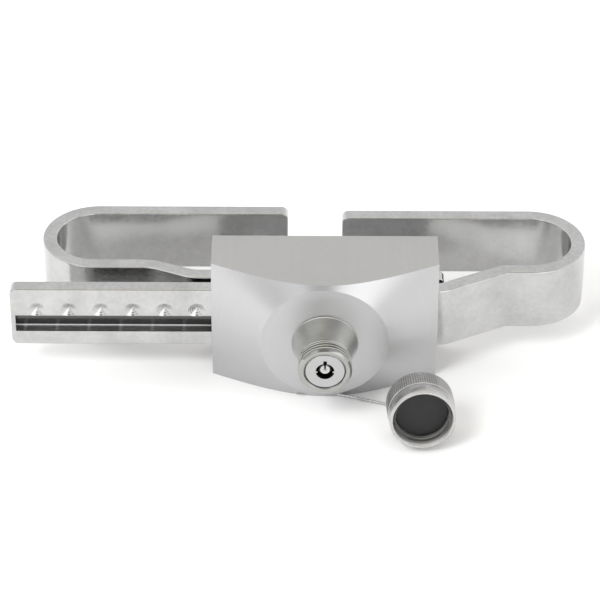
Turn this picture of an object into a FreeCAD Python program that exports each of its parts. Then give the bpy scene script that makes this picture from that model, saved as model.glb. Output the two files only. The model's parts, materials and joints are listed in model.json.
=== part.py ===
import FreeCAD, Part
import math
import os

# Universal trailer coupler lock. Two hooked flat-bar arms pass through one machined block.
# The left arm is screwed to the block. The right arm's front leg is a ratchet bar: it slides
# through the block, and a bolt driven by a tubular key lock enters one of its dimples.
# Millimetres. X runs along the bars, +Y is the back, which faces the coupler, and +Z is up.
# The origin is the centre of the block's bottom face.

V = FreeCAD.Vector

# Block
HOUSING_W = 127.0
HOUSING_D = 50.8
HOUSING_H = 76.2
MID_Z = HOUSING_H / 2
BACK_Y = HOUSING_D / 2
FRONT_Y = -HOUSING_D / 2
FLAT_R = 35.7
CONE_SLOPE = 0.583
BLOCK_EDGE = 0.6

# Flat-bar arms
STRAP_W = 38.1
STRAP_T = 8.3
HOOK_R = 27.25
END_R = 4.0
EDGE_R = 1.0
LEFT_BAR_Y = 14.85
LEFT_JOG = 10.0
LEFT_JOG_X = (-75.0, -98.0)
LEFT_JOG_R = 24.0
LEFT_OUT_X = -157.7
LEFT_TIP_X = -21.0
LEFT_END_X = 67.5
RIGHT_BAR_Y = 2.55
RIGHT_JOG = 18.5
RIGHT_JOG_X = (66.5, 102.5)
RIGHT_JOG_R = (10.0, 6.5)
RIGHT_OUT_X = 145.65
RIGHT_TIP_X = 10.4
RATCHET_END_X = -177.0
RATCHET_FACE_Y = RIGHT_BAR_Y - STRAP_T / 2

# Ratchet bar features
PITCH = 18.0
DIMPLES = 10
ROW_OFFSET = 4.8
DIMPLE_R = 4.7
POINT_TAN = math.tan(math.radians(59.0))
DIMPLE_DEPTH = DIMPLE_R / POINT_TAN
GROOVE_H = 10.0
GROOVE_DEPTH = 6.2
GROOVE_LIP_R = 1.4
GROOVE_X = (-174.4, -2.5)

# Running and assembly clearances
SLIDE_GAP = 0.25
SEAT_GAP = 0.05

# Lock nose and the bore that it sits in
BORE_R = 13.0
NOSE_BASE_R = 18.5
NOSE_NECK_R = 14.5
NOSE_NECK_Y = FRONT_Y - 16.3
COLLAR_R = 14.9
NOSE_FRONT_Y = FRONT_Y - 26.8
SPIGOT_END_Y = -11.0
NOSE_BORE_R = 10.2
CYLINDER_R = 11.4
CYLINDER_SEAT_Y = -30.6
CYLINDER_PIN_Y = -34.0
CYLINDER_PIN_R = 1.25
SET_SCREW_Y = -15.2
SET_SCREW_R = 3.0
SET_SCREW_LENGTH = 10.0

# Tubular lock cylinder
FACE_Y = NOSE_FRONT_Y + 0.5
LIP_T = 1.8
KEYWAY_R = 5.15
CHAMBER_R = 7.6
ROTOR_R = 7.5
ROTOR_Y = (FACE_Y + 6.0, FACE_Y + 11.0)
POST_R = 3.05
POST_RECESS = 1.6
SPINDLE_R = 2.6
SLEEVE_Y = (ROTOR_Y[1] + 0.1, ROTOR_Y[1] + 8.3)
CLIP_Y = (SLEEVE_Y[1] + 0.1, SLEEVE_Y[1] + 0.9)
PIN_RING_R = 4.1
PIN_R = 0.85
PIN_HOLE_R = 0.95
PIN_ANGLES = [90 + 45 * step for step in range(1, 8)]

# Drive cam and locking bolt
BOLT_TRAVEL = 3.8
CAM_R = 7.4
CAM_Y = -31.0
CAM_MID_Y = -25.5
CAM_TAN = BOLT_TRAVEL / 2 / math.sin(math.radians(45.0)) / ROW_OFFSET
CAM_RISE_DIRECTION = (-math.sqrt(0.5), -math.sqrt(0.5))
FOLLOWER_R = 3.2
FOLLOWER_GAP = 0.25
FOLLOWER_Y = (
    CAM_MID_Y - BOLT_TRAVEL / 2 + (FOLLOWER_R + FOLLOWER_GAP) * math.sqrt(1 + CAM_TAN ** 2)
)
BOLT_R = 3.6
BOLT_TIP_R = 0.7
BOLT_TIP_Y = -3.3
FLANGE_R = 4.9
FLANGE_Y = (-20.6, -19.2)
GUIDE_END_Y = RATCHET_FACE_Y - SLIDE_GAP
SPRING_POCKET_Y = -9.0
SPRING_MEAN_R = 4.3
SPRING_WALL = 0.15
STOP_PIN_R = 4.0
STOP_PIN_X = -7.0

# Arm screws
ARM_SCREW_X = (-38.0, 38.0)
ARM_SCREW_R = 4.0
ARM_SCREW_HEAD_R = 7.8
ARM_SCREW_HEAD_T = 3.8
ARM_SCREW_SINK = 3.9

# Tether: its anchor under the block, the cable's route, and the cap on its far end
ANCHOR = V(-12.0, -17.5, 0.0)
TETHER_HEADING = V(0.955, -0.297, 0.0)
CABLE_R = 0.75
CABLE_ROUTE = [
    V(-2.45, -20.47, 2.6), V(5.2, -22.85, 1.0), V(19.0, -27.0, 0.85), V(31.0, -31.0, 0.85),
    V(41.4, -34.2, 0.85), V(47.0, -39.6, 0.85), V(49.5, -45.0, 0.9), V(50.75, -48.15, 2.35),
    V(51.75, -50.4, 5.1), V(52.3, -51.4, 8.6), V(52.3, -50.93, 12.3),
]
CAP_R = 18.75
CAP_LENGTH = 22.0
CAP_BORE_R = 14.95
CAP_FUNNEL_R = 16.95
CAP_FUNNEL_DEPTH = 2.6
CAP_SEAL_DEPTH = 9.0
CAP_FLOOR_DEPTH = 12.0
CAP_TILT = 7.0
CAP_YAW = 3.4
CAP_REAR = V(52.35, -51.8, 18.6)


def revolve(profile, y_axis_x=0.0, y_axis_z=MID_Z):
    """Turn a closed (radius, y) profile about an axis along Y."""
    points = [V(y_axis_x + r, y, y_axis_z) for r, y in profile]
    face = Part.Face(Part.makePolygon(points + [points[0]]))
    return face.revolve(V(y_axis_x, 0, y_axis_z), V(0, 1, 0), 360)


def rod(radius, y_start, y_end, x=0.0, z=MID_Z):
    """A cylinder along Y between two y values."""
    return Part.makeCylinder(radius, y_end - y_start, V(x, y_start, z), V(0, 1, 0))


def block(low, high):
    """A box between two corners."""
    size = V(*high) - V(*low)
    return Part.makeBox(size.x, size.y, size.z, V(*low))


def polygon_prism(points_yz, x_start, x_end):
    """A (y, z) polygon extruded along X."""
    points = [V(x_start, y, z) for y, z in points_yz]
    return Part.Face(Part.makePolygon(points + [points[0]])).extrude(V(x_end - x_start, 0, 0))


def face_normal(face, point):
    u, v = face.Surface.parameter(point)
    return face.normalAt(u, v)


def sharp_edges(shape, least_angle=20.0):
    """Edges whose two faces meet at more than the given angle."""
    found = []
    for edge in shape.Edges:
        faces = shape.ancestorsOfType(edge, Part.Face)
        if len(faces) != 2:
            continue
        middle = edge.valueAt((edge.FirstParameter + edge.LastParameter) / 2)
        turn = face_normal(faces[0], middle).getAngle(face_normal(faces[1], middle))
        if math.degrees(turn) > least_angle:
            found.append(edge)
    return found


def strap_side(path, radii, shift):
    """One side of a bent strap: the path offset to its left by shift, as a list of edges."""
    headings = [(b - a).normalize() for a, b in zip(path, path[1:])]
    lefts = [V(-h.y, h.x, 0) for h in headings]
    edges = []
    last = path[0] + lefts[0] * shift
    for i, radius in enumerate(radii):
        corner = path[i + 1]
        turn = math.atan2(headings[i].cross(headings[i + 1]).z, headings[i].dot(headings[i + 1]))
        side = math.copysign(1, turn)
        tangent = radius * math.tan(abs(turn) / 2)
        start = corner - headings[i] * tangent
        end = corner + headings[i + 1] * tangent
        centre = start + lefts[i] * (radius * side)
        middle = (lefts[i] + lefts[i + 1]).normalize() * (-side)
        arc_start = start + lefts[i] * shift
        arc_end = end + lefts[i + 1] * shift
        arc_middle = centre + middle * (radius - side * shift)
        if (arc_start - last).Length > 1e-6:
            edges.append(Part.LineSegment(last, arc_start).toShape())
        edges.append(Part.Arc(arc_start, arc_middle, arc_end).toShape())
        last = arc_end
    end = path[-1] + lefts[-1] * shift
    edges.append(Part.LineSegment(last, end).toShape())
    return edges, path[0] + lefts[0] * shift, end


def strap(path, radii):
    """A flat bar on edge, bent along a centre line, with rounded end corners and edges."""
    left, left_start, left_end = strap_side(path, radii, STRAP_T / 2)
    right, right_start, right_end = strap_side(path, radii, -STRAP_T / 2)
    caps = [
        Part.LineSegment(left_end, right_end).toShape(),
        Part.LineSegment(left_start, right_start).toShape(),
    ]
    outline = Part.Wire(Part.__sortEdges__(left + right + caps))
    bar = Part.Face(outline).extrude(V(0, 0, STRAP_W))
    bar.translate(V(0, 0, MID_Z - STRAP_W / 2))
    ends = [path[0].x, path[-1].x]
    corners = [
        e for e in bar.Edges
        if abs(e.Vertexes[0].Z - e.Vertexes[-1].Z) < 1e-6
        and abs(e.Length - STRAP_T) < 1e-6
        and min(abs(e.CenterOfMass.x - x) for x in ends) < 1e-6
    ]
    bar = bar.makeFillet(END_R, corners)
    return bar.makeFillet(EDGE_R, sharp_edges(bar))


def hook_path(start, bar_y, jog_x, jog, outer_x, tip_x):
    """Centre line of an arm: bar, joggle backward, half-circle hook, rear leg."""
    leg_y = bar_y + jog
    return [
        V(start, bar_y, 0), V(jog_x[0], bar_y, 0), V(jog_x[1], leg_y, 0), V(outer_x, leg_y, 0),
        V(outer_x, leg_y + 2 * HOOK_R, 0), V(tip_x, leg_y + 2 * HOOK_R, 0),
    ]


def arm_screw_holes():
    """Clearance holes with countersinks through the block's back wall."""
    bar_back = LEFT_BAR_Y + STRAP_T / 2
    holes = []
    for x in ARM_SCREW_X:
        shank = rod(ARM_SCREW_R + SEAT_GAP, bar_back - 1.0, BACK_Y + 1.0, x)
        sink = Part.makeCone(ARM_SCREW_R + SEAT_GAP, ARM_SCREW_R + SEAT_GAP + 4.4, 4.4,
                             V(x, BACK_Y - ARM_SCREW_SINK, MID_Z), V(0, 1, 0))
        holes += [shank, sink]
    return holes


def make_left_arm():
    path = hook_path(LEFT_END_X, LEFT_BAR_Y, LEFT_JOG_X, LEFT_JOG, LEFT_OUT_X, LEFT_TIP_X)
    arm = strap(path, [LEFT_JOG_R, LEFT_JOG_R, HOOK_R, HOOK_R])
    threads = [
        rod(ARM_SCREW_R + SEAT_GAP, LEFT_BAR_Y - 2.5, LEFT_BAR_Y + STRAP_T, x) for x in ARM_SCREW_X
    ]
    return arm.cut(threads)


def groove_cutter():
    """The long groove, with a rounded upper lip."""
    face = RATCHET_FACE_Y
    top = MID_Z - ROW_OFFSET + GROOVE_H / 2
    low = MID_Z - ROW_OFFSET - GROOVE_H / 2
    steps = 6
    lip = []
    for i in range(steps + 1):
        a = math.radians(90.0 * i / steps)
        lip.append((face + GROOVE_LIP_R * (1 - math.cos(a)),
                    top + GROOVE_LIP_R * (1 - math.sin(a))))
    outside = [(face - 1.0, low), (face - 1.0, top + GROOVE_LIP_R)]
    inside = [(face + GROOVE_DEPTH, top), (face + GROOVE_DEPTH, low)]
    return polygon_prism(outside + lip + inside, *GROOVE_X)


def make_right_arm():
    path = hook_path(RATCHET_END_X, RIGHT_BAR_Y, RIGHT_JOG_X, RIGHT_JOG, RIGHT_OUT_X,
                     RIGHT_TIP_X)
    arm = strap(path, [*RIGHT_JOG_R, HOOK_R, HOOK_R])
    cutters = [groove_cutter()]
    over = 0.5
    for i in range(DIMPLES):
        cutters.append(Part.makeCone(
            DIMPLE_R + over * POINT_TAN, 0, DIMPLE_DEPTH + over,
            V(-PITCH * i, RATCHET_FACE_Y - over, MID_Z + ROW_OFFSET), V(0, 1, 0)))
    return arm.cut(cutters)


def make_arm_screws():
    """Two countersunk screws that hold the left arm against the block."""
    screws = []
    for x in ARM_SCREW_X:
        shank = rod(ARM_SCREW_R, LEFT_BAR_Y - 2.0, BACK_Y - ARM_SCREW_SINK, x)
        head = Part.makeCone(ARM_SCREW_R, ARM_SCREW_HEAD_R, ARM_SCREW_HEAD_T,
                             V(x, BACK_Y - ARM_SCREW_SINK, MID_Z), V(0, 1, 0))
        socket = hex_socket(4.0, 2.6, V(x, BACK_Y, MID_Z), V(0, -1, 0))
        screws.append(shank.fuse(head).removeSplitter().cut(socket))
    return Part.makeCompound(screws)


def hex_socket(across_corners, depth, mouth, inward):
    """A hexagonal recess cutter that starts just outside the mouth and runs inward."""
    start = mouth - inward * 0.5
    turn = FreeCAD.Rotation(V(0, 0, 1), inward)
    points = []
    for i in range(7):
        a = math.radians(60.0 * i)
        corner = V(across_corners / 2 * math.cos(a), across_corners / 2 * math.sin(a), 0)
        points.append(start + turn.multVec(corner))
    return Part.Face(Part.makePolygon(points)).extrude(inward * (depth + 0.5))


def channel(start, end, width, depth):
    """A straight open channel cut up into the block's bottom face."""
    heading = (V(end.x, end.y, 0) - V(start.x, start.y, 0)).normalize()
    left = V(-heading.y, heading.x, 0) * (width / 2)
    low = V(0, 0, -1.0)
    points = [start + left + low, start - left + low, end - left + low, end + left + low]
    face = Part.Face(Part.makePolygon(points + [points[0]]))
    return face.extrude(V(0, 0, depth + 1.0))


def make_housing():
    """The block: bar slots, turned cone front, lock bore, screw holes and tether pocket."""
    half = HOUSING_W / 2
    body = block((-half, FRONT_Y, 0), (half, BACK_Y, HOUSING_H))
    body = body.makeChamfer(BLOCK_EDGE, [
        e for e in body.Edges if min(v.Y for v in e.Vertexes) > BACK_Y - 0.1])
    reach = 90.0
    cone = revolve([(0, FRONT_Y), (FLAT_R, FRONT_Y),
                    (reach, FRONT_Y + (reach - FLAT_R) * CONE_SLOPE), (reach, BACK_Y + 1),
                    (0, BACK_Y + 1)])
    body = body.common(cone)
    seat = STRAP_T / 2 + SEAT_GAP
    run = STRAP_T / 2 + SLIDE_GAP
    tall = STRAP_W / 2 + SEAT_GAP
    left_slot = block((-half - 1, LEFT_BAR_Y - seat, MID_Z - tall),
                      (half + 1, LEFT_BAR_Y + seat, MID_Z + tall))
    tall = STRAP_W / 2 + SLIDE_GAP
    right_slot = block((-half - 1, RIGHT_BAR_Y - run, MID_Z - tall),
                       (half + 1, RIGHT_BAR_Y + run, MID_Z + tall))
    bore = rod(BORE_R, FRONT_Y - 1, RIGHT_BAR_Y)
    set_screw_hole = Part.makeCylinder(SET_SCREW_R + SEAT_GAP, MID_Z, V(0, SET_SCREW_Y, -1))
    pocket = Part.makeCylinder(6.0, 5.5, ANCHOR + V(0, 0, -1.0))
    anchor_hole = Part.makeCylinder(1.95, 18.0, ANCHOR + V(0, 0, -1.0))
    deep = channel(ANCHOR, ANCHOR + TETHER_HEADING * 16, 4.4, 4.5)
    shallow = channel(ANCHOR, ANCHOR + TETHER_HEADING * 40, 2.6, 2.2)
    return body.cut([left_slot, right_slot, bore, set_screw_hole, pocket, anchor_hole, deep,
                     shallow] + arm_screw_holes())


def make_lock_nose():
    """Turned stainless nose: spigot in the block, flare, threaded collar, open bore."""
    flare = []
    steps = 8
    for i in range(1, steps):
        t = i / steps
        bow = 0.5 * math.sin(math.pi * t)
        flare.append((NOSE_BASE_R + (NOSE_NECK_R - NOSE_BASE_R) * t - bow,
                      FRONT_Y + (NOSE_NECK_Y - FRONT_Y) * t))
    profile = [(NOSE_BORE_R, SPIGOT_END_Y), (BORE_R - SEAT_GAP, SPIGOT_END_Y),
               (BORE_R - SEAT_GAP, FRONT_Y), (NOSE_BASE_R, FRONT_Y),
               (NOSE_BASE_R, FRONT_Y - 0.8)]
    profile += flare
    profile += [(NOSE_NECK_R, NOSE_NECK_Y), (COLLAR_R, NOSE_NECK_Y - 0.5),
                (COLLAR_R, NOSE_FRONT_Y + 1.2), (COLLAR_R - 1.2, NOSE_FRONT_Y),
                (CYLINDER_R + 0.6, NOSE_FRONT_Y), (CYLINDER_R + SEAT_GAP, NOSE_FRONT_Y + 0.6),
                (CYLINDER_R + SEAT_GAP, CYLINDER_SEAT_Y), (NOSE_BORE_R, CYLINDER_SEAT_Y)]
    nose = revolve(profile)
    dimple = Part.makeCylinder(2.3, 3.0, V(0, SET_SCREW_Y, MID_Z - BORE_R - 1.3))
    pin_hole = Part.makeCylinder(CYLINDER_PIN_R + SEAT_GAP, 9.0, V(0, CYLINDER_PIN_Y, MID_Z - 18.0))
    return nose.cut([dimple, pin_hole])


def make_nose_set_screw():
    """Grub screw up through the block's bottom, its dog point in the nose's spigot."""
    top = MID_Z - BORE_R - 0.2
    body = Part.makeCylinder(SET_SCREW_R, SET_SCREW_LENGTH, V(0, SET_SCREW_Y, top - SET_SCREW_LENGTH))
    point = Part.makeCylinder(2.1, 1.6, V(0, SET_SCREW_Y, top))
    socket = hex_socket(3.4, 3.0, V(0, SET_SCREW_Y, top - SET_SCREW_LENGTH), V(0, 0, 1))
    return body.fuse(point).removeSplitter().cut(socket)


def pin_circle(make_one):
    """One solid at each pin position of the tubular lock."""
    solids = []
    for angle in PIN_ANGLES:
        a = math.radians(angle)
        solids.append(make_one(PIN_RING_R * math.cos(a), MID_Z + PIN_RING_R * math.sin(a)))
    return solids


def make_cylinder_shell():
    """Outer shell: chamfered face, keyway with its notch and two side nibs, rotor chamber."""
    back = CYLINDER_SEAT_Y - 0.1
    shell = revolve([(KEYWAY_R, FACE_Y), (CYLINDER_R - 0.7, FACE_Y), (CYLINDER_R, FACE_Y + 0.7),
                     (CYLINDER_R, back), (CHAMBER_R, back), (CHAMBER_R, FACE_Y + LIP_T),
                     (KEYWAY_R, FACE_Y + LIP_T)])
    notch = block((-1.0, FACE_Y - 1, MID_Z + 4), (1.0, FACE_Y + LIP_T + 0.5, MID_Z + 6.9))
    nibs = [
        block((x - 0.6, FACE_Y, MID_Z - 0.9), (x + 0.6, FACE_Y + LIP_T, MID_Z + 0.1))
        for x in (-4.8, 4.8)
    ]
    pin_hole = Part.makeCylinder(CYLINDER_PIN_R + SEAT_GAP, 3.5, V(0, CYLINDER_PIN_Y, MID_Z - 12.0))
    sleeve_hole = Part.makeCylinder(0.8, 6.0, V(0, SLEEVE_Y[0] + 4.0, MID_Z + 6.0))
    return shell.fuse(nibs).removeSplitter().cut([notch, pin_hole, sleeve_hole])


def make_cylinder_pin():
    """Pin up through the underside of the flare into the shell."""
    return Part.makeCylinder(CYLINDER_PIN_R, 7.0, V(0, CYLINDER_PIN_Y, MID_Z - 15.8))


def make_lock_plug():
    """Rotor with its centre post in front and its spindle behind."""
    boss = CAM_Y + 1.8
    plug = revolve([
        (0, FACE_Y + POST_RECESS), (POST_R - 0.4, FACE_Y + POST_RECESS),
        (POST_R, FACE_Y + POST_RECESS + 0.4), (POST_R, ROTOR_Y[0]), (ROTOR_R, ROTOR_Y[0]),
        (ROTOR_R, ROTOR_Y[1]), (SPINDLE_R, ROTOR_Y[1]), (SPINDLE_R, CLIP_Y[0] - 0.02),
        (2.1, CLIP_Y[0] - 0.02), (2.1, CLIP_Y[1] + 0.02), (SPINDLE_R, CLIP_Y[1] + 0.02),
        (SPINDLE_R, CAM_Y), (2.4, CAM_Y), (2.4, boss), (0, boss)])
    slot = block((-0.5, FACE_Y, MID_Z + 0.8), (0.5, FACE_Y + POST_RECESS + 2.0, MID_Z + 4.0))
    centre = Part.makeCone(1.0, 0, 0.8, V(0, FACE_Y + POST_RECESS, MID_Z), V(0, 1, 0))
    flats = [
        block((-4, CAM_Y, MID_Z + s * 3.0 - 1.1), (4, boss + 1, MID_Z + s * 3.0 + 1.1))
        for s in (-1, 1)
    ]
    screw_hole = rod(1.5, boss - 8.0, boss + 1)
    pin_holes = pin_circle(lambda x, z: rod(PIN_HOLE_R, ROTOR_Y[0] - 1, ROTOR_Y[1] + 1, x, z))
    return plug.cut([slot, centre, screw_hole] + flats + pin_holes)


def make_key_pins():
    """Seven pins in the rotor, their round noses in the keyway."""
    def one(x, z):
        body = rod(PIN_R, ROTOR_Y[0] - 0.4, ROTOR_Y[1] - 0.03, x, z)
        return body.fuse(Part.makeSphere(PIN_R, V(x, ROTOR_Y[0] - 0.4, z))).removeSplitter()
    return Part.makeCompound(pin_circle(one))


def make_driver_sleeve():
    """Fixed sleeve behind the rotor, which holds the driver pins and their springs."""
    sleeve = rod(CHAMBER_R - SEAT_GAP, *SLEEVE_Y)
    holes = pin_circle(lambda x, z: rod(PIN_HOLE_R, SLEEVE_Y[0] - 1, SLEEVE_Y[1] - 0.8, x, z))
    side = Part.makeCylinder(0.8, 3.0, V(0, SLEEVE_Y[0] + 4.0, MID_Z + 6.0))
    return sleeve.cut([rod(SPINDLE_R + SEAT_GAP, SLEEVE_Y[0] - 1, SLEEVE_Y[1] + 1), side] + holes)


def make_sleeve_pin():
    """Short pin that keys the sleeve to the shell."""
    return Part.makeCylinder(0.75, 5.0, V(0, SLEEVE_Y[0] + 4.0, MID_Z + 6.2))


def make_driver_pins():
    return Part.makeCompound(
        pin_circle(lambda x, z: rod(PIN_R, SLEEVE_Y[0] + 0.03, SLEEVE_Y[0] + 3.0, x, z)))


def make_pin_springs():
    """The seven fine springs, each as a plain tube of its outer and inner diameter."""
    start = SLEEVE_Y[0] + 3.03
    end = SLEEVE_Y[1] - 0.83
    return Part.makeCompound(pin_circle(
        lambda x, z: rod(PIN_R, start, end, x, z).cut(rod(0.5, start - 1, end + 1, x, z))))


def make_plug_clip():
    """Snap ring in the spindle's groove, behind the sleeve."""
    ring = rod(4.6, *CLIP_Y).cut(rod(2.15, CLIP_Y[0] - 1, CLIP_Y[1] + 1))
    return ring.cut(block((-1.2, CLIP_Y[0] - 1, MID_Z - 6), (1.2, CLIP_Y[1] + 1, MID_Z)))


def make_drive_cam():
    """Drum on the spindle's end; its slanted rear face pushes the bolt as the plug turns."""
    gx, gz = CAM_RISE_DIRECTION
    drum = rod(CAM_R, CAM_Y, CAM_MID_Y + CAM_R)
    above = Part.makeBox(60, 60, 30, V(-30, -30, 0))
    normal = V(-CAM_TAN * gx, 1, -CAM_TAN * gz)
    above.Placement = FreeCAD.Placement(V(0, CAM_MID_Y, MID_Z),
                                        FreeCAD.Rotation(V(0, 0, 1), normal))
    boss_hole = rod(2.4 + SEAT_GAP, CAM_Y - 1, CAM_Y + 2.0)
    boss_hole = boss_hole.common(block((-4, CAM_Y - 2, MID_Z - 1.95), (4, CAM_Y + 3, MID_Z + 1.95)))
    head_hole = rod(3.1, CAM_Y + 2.0, 0)
    return drum.cut([above, boss_hole, head_hole])


def make_cam_screw():
    """Socket-head screw that holds the cam on the spindle."""
    head_y = CAM_Y + 2.0
    head = rod(2.75, head_y, head_y + 2.2)
    shank = rod(1.45, head_y - 7.0, head_y)
    socket = hex_socket(2.8, 1.4, V(0, head_y + 2.2, MID_Z), V(0, -1, 0))
    return head.fuse(shank).removeSplitter().cut(socket)


def make_locking_bolt():
    """Bolt with a domed follower in front, a spring flange and a conical point."""
    z = MID_Z + ROW_OFFSET
    cone_y = BOLT_TIP_Y - (BOLT_R - BOLT_TIP_R) / POINT_TAN
    body = revolve([(0, FOLLOWER_Y), (FOLLOWER_R, FOLLOWER_Y), (FOLLOWER_R, FLANGE_Y[0]),
                    (FLANGE_R, FLANGE_Y[0]), (FLANGE_R, FLANGE_Y[1]), (BOLT_R, FLANGE_Y[1]),
                    (BOLT_R, cone_y), (BOLT_TIP_R, BOLT_TIP_Y), (0, BOLT_TIP_Y)], 0.0, z)
    dome = Part.makeSphere(FOLLOWER_R, V(0, FOLLOWER_Y, z))
    return body.fuse(dome).removeSplitter()


def make_bolt_spring():
    """Return spring between the bolt's flange and the guide, as a thin tube of the coil's mass."""
    start = FLANGE_Y[1] + SEAT_GAP
    end = SPRING_POCKET_Y - SEAT_GAP
    z = MID_Z + ROW_OFFSET
    outer = rod(SPRING_MEAN_R + SPRING_WALL / 2, start, end, 0, z)
    return outer.cut(rod(SPRING_MEAN_R - SPRING_WALL / 2, start - 1, end + 1, 0, z))


def make_bolt_guide():
    """Plug in the block's bore that guides the bolt and holds the stop pin."""
    z = MID_Z + ROW_OFFSET
    guide = rod(BORE_R - SEAT_GAP, SPIGOT_END_Y, GUIDE_END_Y)
    return guide.cut([rod(BOLT_R + SEAT_GAP, SPIGOT_END_Y - 1, 0, 0, z),
                      rod(5.2, SPIGOT_END_Y - 1, SPRING_POCKET_Y, 0, z),
                      rod(STOP_PIN_R + 0.02, GUIDE_END_Y - 7.0, 0, STOP_PIN_X,
                          MID_Z - ROW_OFFSET)])


def make_stop_pin():
    """Pin in the bar's groove; the groove's two ends stop the bar's travel."""
    return rod(STOP_PIN_R, GUIDE_END_Y - 6.9, RATCHET_FACE_Y + GROOVE_DEPTH - 1.2, STOP_PIN_X,
               MID_Z - ROW_OFFSET)


def make_anchor_screw():
    """Low-head screw that holds the tether's eyelet in the pocket under the block."""
    head = Part.makeCylinder(3.5, 2.1, ANCHOR + V(0, 0, 0.9))
    shank = Part.makeCylinder(1.9, 12.0, ANCHOR + V(0, 0, 3.0))
    socket = hex_socket(2.9, 1.4, ANCHOR + V(0, 0, 0.9), V(0, 0, 1))
    return head.fuse(shank).removeSplitter().cut(socket)


def eyelet(ring_r, hole_r, thick, barrel, barrel_z):
    """Flat ring in the XY plane at the origin, with a crimp barrel along +X."""
    start, end = barrel
    ring = Part.makeCylinder(ring_r, thick).fuse(block((0, -1.4, 0), (start + 1.0, 1.4, thick)))
    tube = Part.makeCylinder(1.45, end - start, V(start, 0, barrel_z), V(1, 0, 0))
    whole = ring.fuse(tube).removeSplitter()
    return whole.cut(Part.makeCylinder(hole_r, 4.0, V(0, 0, -1.0)))


def make_anchor_eyelet():
    lug = eyelet(4.4, 2.0, 1.0, (3.9, 10.0), -0.1)
    angle = math.degrees(math.atan2(TETHER_HEADING.y, TETHER_HEADING.x))
    lug.Placement = FreeCAD.Placement(ANCHOR + V(0, 0, 3.05), FreeCAD.Rotation(V(0, 0, 1), angle))
    return lug


def cap_placement():
    """Where the cap lies: axis near the floor's plane, mouth to the front and tipped up."""
    yaw = FreeCAD.Rotation(V(0, 0, 1), CAP_YAW)
    tilt = FreeCAD.Rotation(V(1, 0, 0), -CAP_TILT)
    return FreeCAD.Placement(CAP_REAR, yaw.multiply(tilt))


def place_on_cap(shape):
    """Move a shape from the cap's own frame, origin at its rear centre, mouth along -Y."""
    shape.Placement = cap_placement().multiply(shape.Placement)
    return shape


def make_cap_shell():
    """Dust cap: threaded bore, seal seat, solid knurled head with a swivel hole."""
    mouth = -CAP_LENGTH
    floor = mouth + CAP_FLOOR_DEPTH
    return place_on_cap(revolve([
        (CAP_FUNNEL_R, mouth), (CAP_R - 1.4, mouth), (CAP_R - 0.4, mouth + 0.9),
        (CAP_R - 0.4, mouth + 9.0), (CAP_R, mouth + 9.6), (CAP_R, -0.9), (CAP_R - 0.9, 0),
        (2.45, 0), (2.45, floor + 2.4), (4.3, floor + 2.4), (4.3, floor), (CAP_BORE_R, floor),
        (CAP_BORE_R, mouth + CAP_FUNNEL_DEPTH)], 0.0, 0.0))


def make_cap_seal():
    """Rubber disc on the cap's inner floor."""
    mouth = -CAP_LENGTH
    disc = rod(CAP_BORE_R - 0.02, mouth + CAP_SEAL_DEPTH, mouth + CAP_FLOOR_DEPTH, 0.0, 0.0)
    return place_on_cap(disc)


def make_cap_rivet():
    """Swivel rivet through the cap's head, with the tether's eyelet under its outer head."""
    floor = -CAP_LENGTH + CAP_FLOOR_DEPTH
    return place_on_cap(revolve([
        (0, floor + 0.15), (4.0, floor + 0.15), (4.0, floor + 2.25), (2.4, floor + 2.25),
        (2.4, 1.35), (4.0, 1.35), (3.4, 2.3), (1.8, 2.9), (0, 2.9)], 0.0, 0.0))


def make_cap_eyelet():
    """The tether's far eyelet, its barrel pointing down along the cap's rear face."""
    lug = eyelet(4.6, 2.45, 1.0, (4.2, 6.3), 1.45)
    barrel_down = FreeCAD.Rotation(V(0, 0, -1), V(-1, 0, 0), V(0, 1, 0), "XZY")
    lug.Placement = FreeCAD.Placement(V(0, 0.2, 0), barrel_down)
    return place_on_cap(lug)


def cable_path(points):
    """Straight runs joined by tangent arcs, each as large as its two runs allow."""
    edges = []
    radii = []
    last = points[0]
    for before, corner, after in zip(points, points[1:], points[2:]):
        inward = (corner - before).normalize()
        outward = (after - corner).normalize()
        turn = inward.getAngle(outward)
        tangent = 0.45 * min((corner - before).Length, (after - corner).Length)
        radius = tangent / math.tan(turn / 2)
        radii.append(radius)
        start = corner - inward * tangent
        end = corner + outward * tangent
        bisector = (outward - inward).normalize()
        middle = corner + bisector * (radius / math.cos(turn / 2) - radius)
        edges.append(Part.LineSegment(last, start).toShape())
        edges.append(Part.Arc(start, middle, end).toShape())
        last = end
    edges.append(Part.LineSegment(last, points[-1]).toShape())
    return Part.Wire(edges), radii


def make_tether_cable():
    """Thin steel cable from the anchor's eyelet to the cap's."""
    wire, radii = cable_path(CABLE_ROUTE)
    heading = CABLE_ROUTE[1] - CABLE_ROUTE[0]
    section = Part.Wire(Part.makeCircle(CABLE_R, CABLE_ROUTE[0], heading))
    cable = wire.makePipeShell([section], True, True)
    print("cable length %.1f mm, radii %s" % (wire.Length, [round(r, 1) for r in radii]))
    print("cable volume %.1f, section x length %.1f" % (
        cable.Volume, math.pi * CABLE_R ** 2 * wire.Length))
    return cable


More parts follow.
